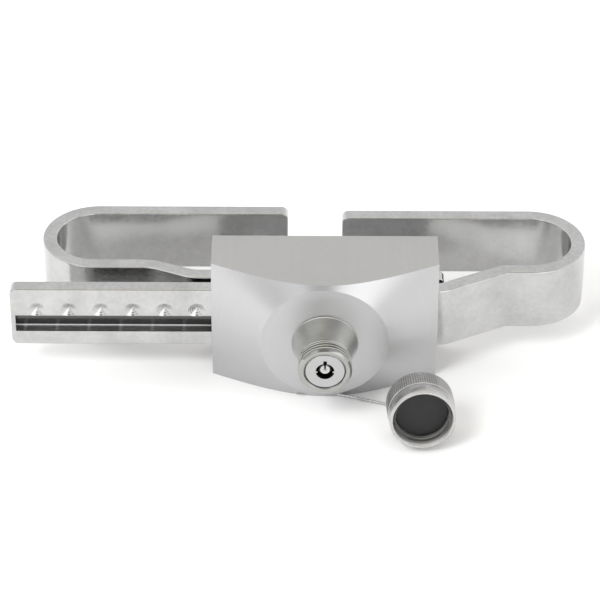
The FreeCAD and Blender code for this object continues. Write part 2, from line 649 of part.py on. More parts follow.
PIECES = {
    "housing_body": make_housing,
    "left_arm": make_left_arm,
    "right_arm": make_right_arm,
    "arm_screws": make_arm_screws,
    "lock_nose": make_lock_nose,
    "nose_set_screw": make_nose_set_screw,
    "cylinder_shell": make_cylinder_shell,
    "cylinder_pin": make_cylinder_pin,
    "lock_plug": make_lock_plug,
    "key_pins": make_key_pins,
    "driver_sleeve": make_driver_sleeve,
    "sleeve_pin": make_sleeve_pin,
    "driver_pins": make_driver_pins,
    "pin_springs": make_pin_springs,
    "plug_clip": make_plug_clip,
    "drive_cam": make_drive_cam,
    "cam_screw": make_cam_screw,
    "locking_bolt": make_locking_bolt,
    "bolt_spring": make_bolt_spring,
    "bolt_guide": make_bolt_guide,
    "stop_pin": make_stop_pin,
    "tether_anchor_screw": make_anchor_screw,
    "tether_anchor_eyelet": make_anchor_eyelet,
    "tether_cable": make_tether_cable,
    "cap_eyelet": make_cap_eyelet,
    "cap_rivet": make_cap_rivet,
    "cap_shell": make_cap_shell,
    "cap_seal": make_cap_seal,
}


def main():
    os.makedirs("parts", exist_ok=True)
    for name, make in PIECES.items():
        shape = make()
        box = shape.BoundBox
        print("%-22s solids %d valid %s volume %9.1f  x %.1f..%.1f y %.1f..%.1f z %.1f..%.1f" % (
            name, len(shape.Solids), shape.isValid(), shape.Volume, box.XMin, box.XMax,
            box.YMin, box.YMax, box.ZMin, box.ZMax))
        shape.exportStep("parts/%s.step" % name)


main()
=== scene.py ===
import json
import math

import bmesh
import bpy
from mathutils import Matrix, Vector


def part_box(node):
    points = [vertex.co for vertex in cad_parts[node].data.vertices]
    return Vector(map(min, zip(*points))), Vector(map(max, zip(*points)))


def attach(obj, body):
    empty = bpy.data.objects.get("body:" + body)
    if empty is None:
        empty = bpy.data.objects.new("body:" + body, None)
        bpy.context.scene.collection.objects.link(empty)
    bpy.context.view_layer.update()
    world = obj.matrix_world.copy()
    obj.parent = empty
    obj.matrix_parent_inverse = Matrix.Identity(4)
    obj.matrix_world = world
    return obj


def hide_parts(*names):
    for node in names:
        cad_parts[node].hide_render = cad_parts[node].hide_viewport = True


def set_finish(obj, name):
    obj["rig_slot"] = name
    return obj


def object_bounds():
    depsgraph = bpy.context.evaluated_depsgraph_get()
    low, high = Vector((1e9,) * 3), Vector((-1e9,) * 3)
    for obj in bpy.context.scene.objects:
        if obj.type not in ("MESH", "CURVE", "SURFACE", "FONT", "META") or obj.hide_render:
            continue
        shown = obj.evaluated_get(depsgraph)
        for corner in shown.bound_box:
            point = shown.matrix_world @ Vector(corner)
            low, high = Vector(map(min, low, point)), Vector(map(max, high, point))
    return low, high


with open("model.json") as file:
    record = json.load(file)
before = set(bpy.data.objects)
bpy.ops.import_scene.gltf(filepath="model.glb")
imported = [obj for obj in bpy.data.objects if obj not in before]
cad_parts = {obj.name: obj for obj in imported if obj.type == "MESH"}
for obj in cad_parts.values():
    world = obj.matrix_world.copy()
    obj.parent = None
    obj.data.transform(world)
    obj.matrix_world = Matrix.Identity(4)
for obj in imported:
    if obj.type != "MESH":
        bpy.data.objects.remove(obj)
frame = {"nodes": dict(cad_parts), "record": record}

cad_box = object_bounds()
nodes = frame["nodes"]
record = frame["record"]

# The frame is the CAD model's: metres, X along the bars, +Y to the back, +Z up.
# Every place below comes from a node's box or from the part's own driving sizes.
MM = 0.001
block_low, block_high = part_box("housing_body")
nose_low, nose_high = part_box("lock_nose")
RATCHET_FACE_Y = -1.6 * MM
AXIS_Z = (block_low.z + block_high.z) / 2
LOCK_AXIS = Vector((0.0, 0.0, AXIS_Z))
FLAT_R = 35.7 * MM
ROW_OFFSET = 4.8 * MM
DIMPLE_PITCH = 18.0 * MM
DIMPLE_R = 4.7 * MM
GROOVE_H = 10.0 * MM
GROOVE_DEPTH = 6.2 * MM
GROOVE_START_X = -174.5 * MM
GROOVE_END_X = -2.5 * MM


# ---------------------------------------------------------------- camera and tether

def add_camera():
    """Long lens, from the front and above, level to a fraction of a degree."""
    elevation = math.radians(35.55)
    roll = math.radians(0.224)
    forward = Vector((0.0, math.cos(elevation), -math.sin(elevation)))
    right = Vector((1.0, 0.0, 0.0))
    up = right.cross(forward)
    rolled_right = right * math.cos(roll) + up * math.sin(roll)
    rolled_up = up * math.cos(roll) - right * math.sin(roll)
    data = bpy.data.cameras.new("camera")
    data.sensor_width = 36.0
    data.lens = 169.3
    data.clip_start = 0.05
    data.clip_end = 30.0
    camera = bpy.data.objects.new("camera", data)
    turn = Matrix((rolled_right, rolled_up, -forward)).transposed().to_4x4()
    camera.matrix_world = Matrix.Translation((-0.0139, -1.2899, 0.9712)) @ turn
    bpy.context.scene.collection.objects.link(camera)
    bpy.context.scene.camera = camera


add_camera()

CABLE_R = 0.75 * MM
CABLE_ROUTE = [
    Vector(p) * MM for p in (
        (-2.45, -20.47, 2.6), (5.2, -22.85, 1.0), (19.0, -27.0, 0.85), (31.0, -31.0, 0.85),
        (41.4, -34.2, 0.85), (47.0, -39.6, 0.85), (49.5, -45.0, 0.9), (50.75, -48.15, 2.35),
        (51.75, -50.4, 5.1), (52.3, -51.4, 8.6), (52.3, -50.93, 12.3))
]


def link(name, mesh, material=None):
    obj = bpy.data.objects.new(name, mesh)
    if material:
        mesh.materials.append(material)
    bpy.context.scene.collection.objects.link(obj)
    return obj


def smooth(mesh, sharp_angle=32.0):
    """Smooth shading with crisp edges where two faces meet at more than the angle."""
    mesh.polygons.foreach_set("use_smooth", [True] * len(mesh.polygons))
    mesh.set_sharp_from_angle(angle=math.radians(sharp_angle))
    mesh.update()


def grid_mesh(name, rows, closed_rows=False, cap_ends=False):
    """Quads between rows of points; each row is a closed ring of the same count."""
    count = len(rows[0])
    verts = [p for row in rows for p in row]
    faces = []
    last = len(rows) if closed_rows else len(rows) - 1
    for j in range(last):
        a = j * count
        b = ((j + 1) % len(rows)) * count
        for i in range(count):
            k = (i + 1) % count
            faces.append((a + i, a + k, b + k, b + i))
    if cap_ends:
        faces.append(tuple(reversed(range(count))))
        faces.append(tuple(range((len(rows) - 1) * count, len(rows) * count)))
    mesh = bpy.data.meshes.new(name)
    mesh.from_pydata(verts, [], faces)
    tidy = bmesh.new()
    tidy.from_mesh(mesh)
    bmesh.ops.recalc_face_normals(tidy, faces=tidy.faces)
    tidy.to_mesh(mesh)
    tidy.free()
    return mesh


def spline_points(route, resolution):
    """The smooth line of a NURBS spline that has the route as its control points."""
    curve = bpy.data.curves.new("route", "CURVE")
    curve.dimensions = "3D"
    spline = curve.splines.new("NURBS")
    spline.points.add(len(route) - 1)
    for point, place in zip(spline.points, route):
        point.co = (*place, 1.0)
    spline.order_u = 3
    spline.use_endpoint_u = True
    spline.resolution_u = resolution
    holder = bpy.data.objects.new("route", curve)
    bpy.context.scene.collection.objects.link(holder)
    bpy.context.view_layer.update()
    line = bpy.data.meshes.new_from_object(holder)
    points = [v.co.copy() for v in line.vertices]
    bpy.data.objects.remove(holder)
    bpy.data.meshes.remove(line)
    bpy.data.curves.remove(curve)
    return points


def swept(name, path, outline, twist=0.0):
    """A tube along a path; outline(angle) gives its radius, turned by twist per metre."""
    samples = 36
    rows = []
    side = Vector((0.0, 0.0, 1.0))
    run = 0.0
    for j, point in enumerate(path):
        heading = (path[min(j + 1, len(path) - 1)] - path[max(j - 1, 0)]).normalized()
        side = (side - heading * side.dot(heading)).normalized()
        other = heading.cross(side)
        if j:
            run += (point - path[j - 1]).length
        row = []
        for i in range(samples):
            a = 2 * math.pi * i / samples
            r = outline(a - twist * run)
            row.append(point + side * (r * math.cos(a)) + other * (r * math.sin(a)))
        rows.append(row)
    return grid_mesh(name, rows, cap_ends=True)


def strand_outline(angle):
    """Outline of six round wires laid about a seventh, for a cable of radius CABLE_R."""
    sector = math.pi / 3
    off = (angle + sector / 2) % sector - sector / 2
    reach = 2 * CABLE_R / 3
    inside = max((CABLE_R / 3) ** 2 - (reach * math.sin(off)) ** 2, 0.0)
    return reach * math.cos(off) + math.sqrt(inside)


cable_line = spline_points(CABLE_ROUTE, 14)
cable = link("tether_strands", swept(
    "tether_strands", cable_line, strand_outline, twist=2 * math.pi / (9.0 * MM)))
smooth(cable.data, 40.0)
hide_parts("tether_cable")
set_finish(cable, "cable_steel")
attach(cable, "root")


# ---------------------------------------------------------------- turned pieces

def lathe(name, profile, segments, relief=None):
    """Turn a closed (radius, y) profile about Y; relief(row, angle) adds to the radius."""
    rows = []
    for j, (radius, y) in enumerate(profile):
        row = []
        for i in range(segments):
            a = 2 * math.pi * i / segments
            r = radius + (relief(j, a) if relief else 0.0)
            row.append(Vector((r * math.cos(a), y, r * math.sin(a))))
        rows.append(row)
    return grid_mesh(name, rows, closed_rows=True)


def steps_between(start, end, count):
    """Evenly spaced values after start, up to and including end."""
    return [start + (end - start) * (i + 1) / count for i in range(count)]


def thread_depth(y, angle, start, end, pitch, depth):
    """Depth of a V thread at a place on it, fading out over its first and last turn."""
    phase = ((y - start) / pitch + angle / (2 * math.pi)) % 1.0
    shape = abs(2 * phase - 1)
    shape = min(max((shape - 0.12) / 0.76, 0.0), 1.0)
    ends = min(abs(y - start), abs(end - y)) / (0.8 * pitch)
    return -depth * shape * min(ends, 1.0)


def cut_away(obj, cutter):
    """Cut one mesh out of another for good."""
    step = obj.modifiers.new("cut", "BOOLEAN")
    step.operation = "DIFFERENCE"
    step.solver = "EXACT"
    step.object = cutter
    bpy.context.view_layer.update()
    graph = bpy.context.evaluated_depsgraph_get()
    result = bpy.data.meshes.new_from_object(obj.evaluated_get(graph))
    obj.modifiers.clear()
    old = obj.data
    obj.data = result
    bpy.data.meshes.remove(old)
    bpy.data.objects.remove(cutter)


NOSE_COLLAR_R = 14.9 * MM
NOSE_THREAD_PITCH = 2.2 * MM
NOSE_THREAD_DEPTH = 0.55 * MM


def make_nose():
    """Flared stainless nose with its threaded collar and the cylinder's bore."""
    front = nose_low.y
    base = block_low.y
    base_r = (nose_high.x - nose_low.x) / 2
    neck_r = 14.5 * MM
    collar_r = NOSE_COLLAR_R
    neck_y = base - 16.3 * MM
    bore_r = 11.45 * MM
    inner_r = 10.2 * MM
    seat_y = base - 5.2 * MM
    spigot_r = 12.95 * MM
    thread_start = neck_y - 1.3 * MM
    thread_end = front + 1.3 * MM
    profile = [(inner_r, nose_high.y), (spigot_r - 0.4 * MM, nose_high.y),
               (spigot_r, nose_high.y - 0.4 * MM), (spigot_r, base), (base_r - 0.25 * MM, base),
               (base_r, base - 0.25 * MM), (base_r, base - 0.65 * MM),
               (base_r - 0.2 * MM, base - 0.9 * MM)]
    rim = base_r - 0.2 * MM
    for t in steps_between(0.0, 1.0, 26):
        bow = 0.5 * MM * math.sin(math.pi * t)
        profile.append((rim + (neck_r - rim) * t - bow,
                        base - 0.9 * MM + (neck_y - base + 0.9 * MM) * t))
    profile += [(neck_r, neck_y - 0.1 * MM), (collar_r, neck_y - 0.45 * MM),
                (collar_r, thread_start)]
    first = len(profile)
    profile += [(collar_r, y) for y in steps_between(thread_start, thread_end, 84)]
    last = len(profile)
    profile += [(collar_r, front + 1.0 * MM), (collar_r - 1.0 * MM, front + 0.12 * MM),
                (collar_r - 1.2 * MM, front), (bore_r + 0.6 * MM, front),
                (bore_r + 0.45 * MM, front + 0.08 * MM), (bore_r, front + 0.6 * MM),
                (bore_r, seat_y), (inner_r, seat_y)]

    def relief(j, angle):
        if not first <= j < last:
            return 0.0
        return thread_depth(profile[j][1], angle, thread_start, thread_end,
                            NOSE_THREAD_PITCH, NOSE_THREAD_DEPTH)

    nose = link("nose_turned", lathe("nose_turned", profile, 256, relief))
    nose.location = LOCK_AXIS
    bpy.context.view_layer.update()
    pin_low, pin_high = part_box("cylinder_pin")
    hole = bmesh.new()
    bmesh.ops.create_cone(hole, cap_ends=True, segments=32, radius1=1.3 * MM, radius2=1.3 * MM,
                          depth=12 * MM)
    hole_mesh = bpy.data.meshes.new("pin_hole")
    hole.to_mesh(hole_mesh)
    hole.free()
    drill = link("pin_hole", hole_mesh)
    drill.location = ((pin_low.x + pin_high.x) / 2, (pin_low.y + pin_high.y) / 2,
                      pin_high.z - 5.0 * MM)
    cut_away(nose, drill)
    smooth(nose.data)
    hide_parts("lock_nose")
    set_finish(nose, "stainless")
    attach(nose, "root")
    return nose


CAP_R = 18.75 * MM
CAP_FRONT_R = 18.35 * MM
CAP_LENGTH = 22.0 * MM
CAP_BORE_R = 14.95 * MM
CAP_FUNNEL_R = 16.95 * MM
CAP_FUNNEL_DEPTH = 2.6 * MM
CAP_THREAD_PITCH = 1.9 * MM
CAP_THREAD_DEPTH = 0.4 * MM
CAP_FLOOR_Y = -10.0 * MM
CAP_SEAL_Y = -13.0 * MM
KNURL_TEETH = 88
KNURL_DEPTH = 0.42 * MM
CAP_PLACE = (
    Matrix.Translation((0.05235, -0.0518, 0.0186))
    @ Matrix.Rotation(math.radians(3.4), 4, "Z")
    @ Matrix.Rotation(math.radians(-7.0), 4, "X")
)


def make_cap():
    """Dust cap in its own frame: rear centre at the origin, mouth along -Y."""
    mouth = -CAP_LENGTH
    knurl_front = mouth + 9.6 * MM
    knurl_rear = -0.9 * MM
    step_y = CAP_FLOOR_Y + 2.4 * MM
    thread_start = mouth + CAP_FUNNEL_DEPTH + 0.6 * MM
    thread_end = CAP_SEAL_Y - 0.3 * MM
    profile = [(CAP_BORE_R, thread_start), (CAP_BORE_R + 0.15 * MM, mouth + CAP_FUNNEL_DEPTH),
               (CAP_FUNNEL_R - 0.55 * MM, mouth + 0.4 * MM),
               (CAP_FUNNEL_R - 0.25 * MM, mouth + 0.08 * MM),
               (CAP_FUNNEL_R, mouth), (CAP_FRONT_R - 1.0 * MM, mouth),
               (CAP_FRONT_R - 0.7 * MM, mouth + 0.1 * MM),
               (CAP_FRONT_R - 0.15 * MM, mouth + 0.75 * MM), (CAP_FRONT_R, mouth + 1.3 * MM),
               (CAP_FRONT_R, knurl_front - 0.9 * MM),
               (CAP_FRONT_R - 0.15 * MM, knurl_front - 0.6 * MM),
               (CAP_FRONT_R - 0.15 * MM, knurl_front - 0.4 * MM)]
    first = len(profile)
    profile += [(CAP_R - 0.3 * MM, knurl_front - 0.1 * MM), (CAP_R, knurl_front + 0.3 * MM)]
    profile += [(CAP_R, y) for y in steps_between(knurl_front + 0.3 * MM, knurl_rear, 6)]
    profile += [(CAP_R - 0.35 * MM, knurl_rear + 0.4 * MM)]
    last = len(profile)
    profile += [(CAP_R - 1.0 * MM, -0.02 * MM), (CAP_R - 1.3 * MM, 0.0), (2.75 * MM, 0.0),
                (2.45 * MM, -0.3 * MM), (2.45 * MM, step_y), (4.3 * MM, step_y),
                (4.3 * MM, CAP_FLOOR_Y), (CAP_BORE_R, CAP_FLOOR_Y), (CAP_BORE_R, CAP_SEAL_Y),
                (CAP_BORE_R, thread_end)]
    thread_first = len(profile)
    profile += [(CAP_BORE_R, y) for y in steps_between(thread_end, thread_start, 66)[:-1]]

    def relief(j, angle):
        if first <= j < last:
            phase = (angle * KNURL_TEETH / (2 * math.pi)) % 1.0
            return -KNURL_DEPTH * (1 - abs(2 * phase - 1)) ** 0.9
        if j >= thread_first:
            return -thread_depth(profile[j][1], angle, thread_start, thread_end,
                                 CAP_THREAD_PITCH, CAP_THREAD_DEPTH)
        return 0.0

    cap = link("cap_knurled", lathe("cap_knurled", profile, KNURL_TEETH * 8, relief))
    cap.matrix_world = CAP_PLACE
    smooth(cap.data, 28.0)
    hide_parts("cap_shell")
    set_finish(cap, "knurled_stainless")
    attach(cap, "cap")
    return cap


def make_seal():
    """Rubber disc in the cap, its face slightly dished, its rim rounded."""
    radius = CAP_BORE_R - 0.05 * MM
    rows = [(0.3 * MM, CAP_FLOOR_Y - 0.02 * MM), (radius, CAP_FLOOR_Y - 0.02 * MM),
            (radius, CAP_SEAL_Y + 0.4 * MM), (radius - 0.12 * MM, CAP_SEAL_Y + 0.12 * MM),
            (radius - 0.4 * MM, CAP_SEAL_Y)]
    for t in steps_between(0.0, 1.0, 12):
        r = (radius - 0.4 * MM) * (1 - t) + 0.3 * MM * t
        rows.append((r, CAP_SEAL_Y + 0.35 * MM * math.sin(math.pi / 2 * t)))
    seal = link("cap_seal_disc", lathe("cap_seal_disc", rows, 96))
    tidy = bmesh.new()
    tidy.from_mesh(seal.data)
    bmesh.ops.remove_doubles(tidy, verts=[v for v in tidy.verts
                                          if math.hypot(v.co.x, v.co.z) < 0.31 * MM],
                             dist=0.65 * MM)
    tidy.to_mesh(seal.data)
    tidy.free()
    seal.matrix_world = CAP_PLACE
    smooth(seal.data)
    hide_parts("cap_seal")
    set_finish(seal, "black_rubber")
    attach(seal, "cap")
    return seal


nose = make_nose()
cap = make_cap()
seal = make_seal()


# ---------------------------------------------------------------- materials

class Look:
    """A Principled material with a few short ways to add procedural nodes."""

    def __init__(self, name, colour, metallic, roughness):
        self.material = bpy.data.materials.new(name)
        self.material.use_nodes = True
        self.tree = self.material.node_tree
        self.shader = self.tree.nodes["Principled BSDF"]
        self.shader.inputs["Base Color"].default_value = (*colour, 1.0)
        self.shader.inputs["Metallic"].default_value = metallic
        self.shader.inputs["Roughness"].default_value = roughness

    def add(self, kind, settings=(), inputs=()):
        node = self.tree.nodes.new("ShaderNode" + kind)
        for key, value in dict(settings).items():
            setattr(node, key, value)
        for key, value in dict(inputs).items():
            if isinstance(value, bpy.types.NodeSocket):
                self.tree.links.new(value, node.inputs[key])
            else:
                node.inputs[key].default_value = value
        return node

    def math(self, operation, a, b=0.0, clamp=False):
        return self.add("Math", {"operation": operation, "use_clamp": clamp},
                        {0: a, 1: b}).outputs[0]

    def vector(self, operation, a, b=(0.0, 0.0, 0.0)):
        node = self.add("VectorMath", {"operation": operation}, {0: a, 1: b})
        return node.outputs["Value" if operation in ("LENGTH", "DOT_PRODUCT") else "Vector"]

    def place(self):
        return self.add("TexCoord").outputs["Object"]

    def noise(self, place, scale, detail=3.0, stretch=(1.0, 1.0, 1.0), roughness=0.5):
        mapped = self.add("Mapping", (), {"Vector": place, "Scale": stretch}).outputs[0]
        return self.add("TexNoise", (), {"Vector": mapped, "Scale": scale, "Detail": detail,
                                         "Roughness": roughness}).outputs["Fac"]

    def line_noise(self, along, scale, detail=3.0):
        """Noise that varies along one number only, such as a radius."""
        return self.add("TexNoise", {"noise_dimensions": "1D"},
                        {"W": along, "Scale": scale, "Detail": detail}).outputs["Fac"]

    def span(self, value, low, high, to_low, to_high):
        return self.add("MapRange", (), {"Value": value, "From Min": low, "From Max": high,
                                         "To Min": to_low, "To Max": to_high}).outputs[0]

    def mix(self, factor, a, b):
        node = self.add("Mix", {"data_type": "RGBA"}, {"Factor": factor})
        for socket, value in ((node.inputs[6], a), (node.inputs[7], b)):
            if isinstance(value, bpy.types.NodeSocket):
                self.tree.links.new(value, socket)
            else:
                socket.default_value = (*value, 1.0)
        return node.outputs[2]

    def feed(self, name, socket):
        self.tree.links.new(socket, self.shader.inputs[name])

    def bump(self, height, distance, strength=1.0):
        node = self.add("Bump", (), {"Height": height, "Distance": distance,
                                     "Strength": strength})
        self.feed("Normal", node.outputs[0])


def turned_block():
    """Satin aluminium: turned rings on the front, a straight milled grain elsewhere."""
    look = Look("turned_aluminium", (0.55, 0.55, 0.555), 1.0, 0.3)
    place = look.place()
    from_axis = look.vector("SUBTRACT", place, tuple(LOCK_AXIS))
    radial = look.vector("MULTIPLY", from_axis, (1.0, 0.0, 1.0))
    radius = look.vector("LENGTH", radial)
    normal = look.add("NewGeometry").outputs["Normal"]
    facing = look.vector("DOT_PRODUCT", normal, (0.0, -1.0, 0.0))
    front = look.span(facing, 0.55, 0.6, 0.0, 1.0)
    rings = look.line_noise(radius, 3400.0, 4.0)
    broad = look.line_noise(radius, 420.0, 2.0)
    patches = look.noise(place, 16.0, 4.0)
    grain = look.noise(place, 1900.0, 3.0, (0.12, 1.0, 1.0))
    texture = look.add("Mix", {"data_type": "FLOAT"},
                       {"Factor": front, 2: grain, 3: rings}).outputs[0]
    tone = look.math("ADD", look.math("MULTIPLY", texture, 0.5),
                     look.math("ADD", look.math("MULTIPLY", broad, 0.12),
                               look.math("MULTIPLY", patches, 0.38)))
    look.feed("Base Color", look.mix(look.span(tone, 0.3, 0.7, 0.0, 1.0),
                                     (0.485, 0.485, 0.493), (0.555, 0.555, 0.562)))
    streaked = look.span(radius, FLAT_R - 0.1 * MM, FLAT_R, 0.0, 1.0)
    satin = look.span(look.math("ADD", texture, patches), 0.5, 1.5, 0.40, 0.48)
    glossy = look.span(look.math("ADD", texture, patches), 0.5, 1.5, 0.26, 0.36)
    look.feed("Roughness", look.add("Mix", {"data_type": "FLOAT"},
                                    {"Factor": streaked, 2: satin, 3: glossy}).outputs[0])
    look.feed("Anisotropic", look.math("MULTIPLY", streaked, 0.75))
    tangent = look.add("Mix", {"data_type": "VECTOR"}, {"Factor": front})
    tangent.inputs[4].default_value = (0.0, 1.0, 0.02)
    look.tree.links.new(look.vector("NORMALIZE", radial), tangent.inputs[5])
    look.feed("Tangent", tangent.outputs[1])
    look.bump(texture, 0.012 * MM, 0.2)
    return look.material


def plated_bar(ratchet=False):
    """Bright zinc plating over rolled flat bar; the ratchet keeps drill rings in its dimples and
    gets painted shade in its groove and painted highlights along its corner and ledge.
    """
    look = Look("zinc_plated_ratchet" if ratchet else "zinc_plated_bar",
                (0.53, 0.53, 0.53), 1.0, 0.2)
    place = look.place()
    cloud = look.noise(place, 55.0, 5.0, roughness=0.6)
    fine = look.noise(place, 420.0, 4.0)
    rolled = look.noise(place, 260.0, 3.0, (0.08, 1.0, 0.6))
    wave = look.noise(place, 38.0, 1.5)
    tone = look.math("ADD", look.math("MULTIPLY", cloud, 0.65), look.math("MULTIPLY", fine, 0.35))
    colour = look.mix(look.span(tone, 0.3, 0.7, 0.0, 1.0),
                      (0.44, 0.44, 0.435), (0.60, 0.60, 0.60))
    height = look.math("ADD", look.math("MULTIPLY", wave, 6.0),
                       look.math("ADD", look.math("MULTIPLY", rolled, 0.5), fine))
    satin = look.span(look.math("ADD", cloud, fine), 0.6, 1.4, 0.10, 0.24)
    if ratchet:
        colour, height, milled = ratchet_marks(look, place, colour, height)
        satin = look.math("ADD", satin, look.math("MULTIPLY", milled, 0.35))
    look.feed("Base Color", colour)
    look.feed("Roughness", satin)
    look.bump(height, 0.02 * MM, 0.55)
    return look.material


# Near-black painted into the ratchet's groove as shade.
GROOVE_SHADE_COLOUR = (0.05, 0.05, 0.05)
# Near-white painted along the groove's corner and ledge as highlights.
GROOVE_HIGHLIGHT_COLOUR = (0.95, 0.95, 0.95)
DRILL_RING_SPACING = 1.208 * MM
# Shift of the painted glints along the ledge, measured from the dimples.
GLINT_SHIFT = 7.5 * MM


def ratchet_marks(look, place, colour, height):
    """Drill rings in the dimples; painted shade in the groove, with a painted highlight along its
    inner corner and painted glints along its ledge.
    """
    low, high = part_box("right_arm")
    row_z = (low.z + high.z) / 2 + ROW_OFFSET
    groove_low = (low.z + high.z) / 2 - ROW_OFFSET - GROOVE_H / 2
    floor_y = RATCHET_FACE_Y + GROOVE_DEPTH
    x, y, z = look.add("SeparateXYZ", (), {0: place}).outputs
    on_bar = look.math("MULTIPLY",
                       look.span(x, GROOVE_END_X, GROOVE_END_X + 0.5 * MM, 1.0, 0.0),
                       look.math("LESS_THAN", y, floor_y + 0.1 * MM))

    across = look.math("PINGPONG", look.math("ADD", x, 10 * DIMPLE_PITCH), DIMPLE_PITCH / 2)
    up = look.math("SUBTRACT", z, row_z)
    reach = look.math("SQRT", look.math("ADD", look.math("MULTIPLY", across, across),
                                        look.math("MULTIPLY", up, up)))
    in_dimple = look.math("MULTIPLY", look.span(reach, DIMPLE_R - 0.4 * MM, DIMPLE_R, 1.0, 0.0),
                          look.span(y, RATCHET_FACE_Y, RATCHET_FACE_Y + 0.2 * MM, 0.0, 1.0))
    turns = look.math("MULTIPLY", reach, 2 * math.pi / DRILL_RING_SPACING)
    rings = look.math("MULTIPLY", look.math("SINE", turns),
                      look.math("MULTIPLY", in_dimple, on_bar))
    height = look.math("ADD", height, look.math("MULTIPLY", rings, 2.2))

    above = look.math("SUBTRACT", z, groove_low)
    inside = look.math("MULTIPLY", look.span(above, GROOVE_H, GROOVE_H + 0.8 * MM, 1.0, 0.0),
                       look.span(above, -0.1 * MM, 0.0, 0.0, 1.0))
    deep = look.span(y, RATCHET_FACE_Y + 0.2 * MM, RATCHET_FACE_Y + 0.8 * MM, 0.0, 1.0)
    inside = look.math("MULTIPLY", look.math("MULTIPLY", inside, deep), on_bar)
    inside = look.math("MULTIPLY", inside, look.math("GREATER_THAN", x, GROOVE_START_X))
    # Painted shade: the groove's wall is drawn near-black at 88 percent strength.
    on_wall = look.math("MULTIPLY", look.span(above, 0.1 * MM, 0.3 * MM, 0.0, 1.0), 0.88)
    painted_shade = look.math("MULTIPLY", inside, on_wall)
    # Painted highlight: a near-white line along the groove's inner corner, and painted glints
    # along its ledge, one per dimple pitch.
    corner = look.math("MULTIPLY", look.span(above, 0.4 * MM, 0.7 * MM, 1.0, 0.0),
                       look.span(y, floor_y - 0.5 * MM, floor_y - 0.3 * MM, 0.0, 1.0))
    mark = look.math("PINGPONG", look.math("ADD", x, 10 * DIMPLE_PITCH + GLINT_SHIFT),
                     DIMPLE_PITCH / 2)
    on_ledge = look.span(above, 0.6 * MM, 0.8 * MM, 1.0, 0.0)
    marks = look.math("MULTIPLY", look.span(mark, 0.5 * MM, 1.3 * MM, 0.7, 0.0), on_ledge)
    clean = look.math("MULTIPLY", look.math("MAXIMUM", corner, marks), inside)
    colour = look.mix(painted_shade, colour, GROOVE_SHADE_COLOUR)
    colour = look.mix(clean, colour, GROOVE_HIGHLIGHT_COLOUR)
    return colour, height, look.math("MULTIPLY", inside, on_ledge)


# Near-black painted into thread and knurl roots as shade.
ROOT_SHADE_COLOUR = (0.06, 0.06, 0.055)
# Darker grey drawn on the nose's front end.
DARK_END_GREY = (0.18, 0.18, 0.18)


def turned_steel(name, low, high, roughness, anisotropic, roots, cut_band, root_shade,
                 end_darkening=0.0, bore_r=0.0):
    """Turned steel with marks round its own Y axis, painted shade down in its thread or knurl
    roots, and a darker grey front end.

    roots holds the radii of the cut's roots and crests, cut_band its rear and front Y.
    """
    look = Look(name, high, 1.0, roughness[0])
    place = look.place()
    along = look.add("SeparateXYZ", (), {0: place}).outputs[1]
    marks = look.line_noise(along, 1800.0, 4.0)
    smear = look.noise(place, 130.0, 4.0)
    tone = look.math("ADD", look.math("MULTIPLY", marks, 0.5), look.math("MULTIPLY", smear, 0.5))
    radius = look.vector("LENGTH", look.vector("MULTIPLY", place, (1.0, 0.0, 1.0)))
    rear_y, front_y = cut_band
    in_band = look.math("MULTIPLY", look.math("LESS_THAN", along, rear_y),
                        look.math("GREATER_THAN", along, front_y))
    # Painted shade: the roots of the thread or knurl are drawn dark, fading out towards the
    # crests.
    painted_shade = look.math("MULTIPLY", look.span(radius, *roots, root_shade, 0.0), in_band)
    clean = look.mix(look.span(tone, 0.3, 0.7, 0.0, 1.0), low, high)
    # The front end, ahead of the cut band, is drawn darker grey.
    darker_end = look.math("MULTIPLY", look.math("LESS_THAN", along, front_y), end_darkening)
    look.feed("Base Color", look.mix(painted_shade, look.mix(darker_end, clean, DARK_END_GREY), ROOT_SHADE_COLOUR))
    satin = look.span(tone, 0.3, 0.7, roughness[0], roughness[1])
    coarser_bore = look.span(radius, bore_r, bore_r + 0.5 * MM, 1.7, 1.0)
    look.feed("Roughness", look.math("MULTIPLY", satin, coarser_bore))
    look.shader.inputs["Anisotropic"].default_value = anisotropic
    look.bump(marks, 0.012 * MM, 0.5)
    return look.material


def face_chrome():
    """Bright lock cylinder: a satin face with faint circular lapping marks."""
    look = Look("lock_face_chrome", (0.46, 0.46, 0.465), 1.0, 0.2)
    place = look.place()
    radial = look.vector("MULTIPLY", look.vector("SUBTRACT", place, tuple(LOCK_AXIS)),
                         (1.0, 0.0, 1.0))
    rings = look.line_noise(look.vector("LENGTH", radial), 5200.0, 3.0)
    specks = look.noise(place, 1500.0, 3.0)
    tone = look.math("ADD", look.math("MULTIPLY", rings, 0.5), look.math("MULTIPLY", specks, 0.5))
    look.feed("Base Color", look.mix(tone, (0.40, 0.40, 0.405), (0.52, 0.52, 0.525)))
    look.feed("Roughness", look.span(tone, 0.3, 0.7, 0.14, 0.28))
    look.bump(tone, 0.01 * MM, 0.4)
    return look.material


def plug_steel():
    """Plug: a bright centre post, and a rotor drawn near-black with painted shade down in the
    keyway.
    """
    look = Look("plug_steel", (0.5, 0.5, 0.5), 1.0, 0.2)
    place = look.place()
    depth = look.add("SeparateXYZ", (), {0: place}).outputs[1]
    grain = look.noise(place, 1300.0, 3.0)
    face = nose_low.y
    # Painted shade: near-black deeper than about 3 mm into the keyway, its edge broken by grain.
    deep = look.span(look.math("ADD", depth, look.math("MULTIPLY", grain, 0.6 * MM)),
                     face + 2.6 * MM, face + 3.6 * MM, 0.0, 1.0)
    bright = look.mix(grain, (0.44, 0.44, 0.445), (0.62, 0.62, 0.625))
    look.feed("Base Color", look.mix(deep, bright, (0.03, 0.03, 0.03)))
    look.feed("Roughness", look.span(deep, 0.0, 1.0, 0.14, 0.6))
    look.bump(grain, 0.01 * MM, 0.4)
    return look.material


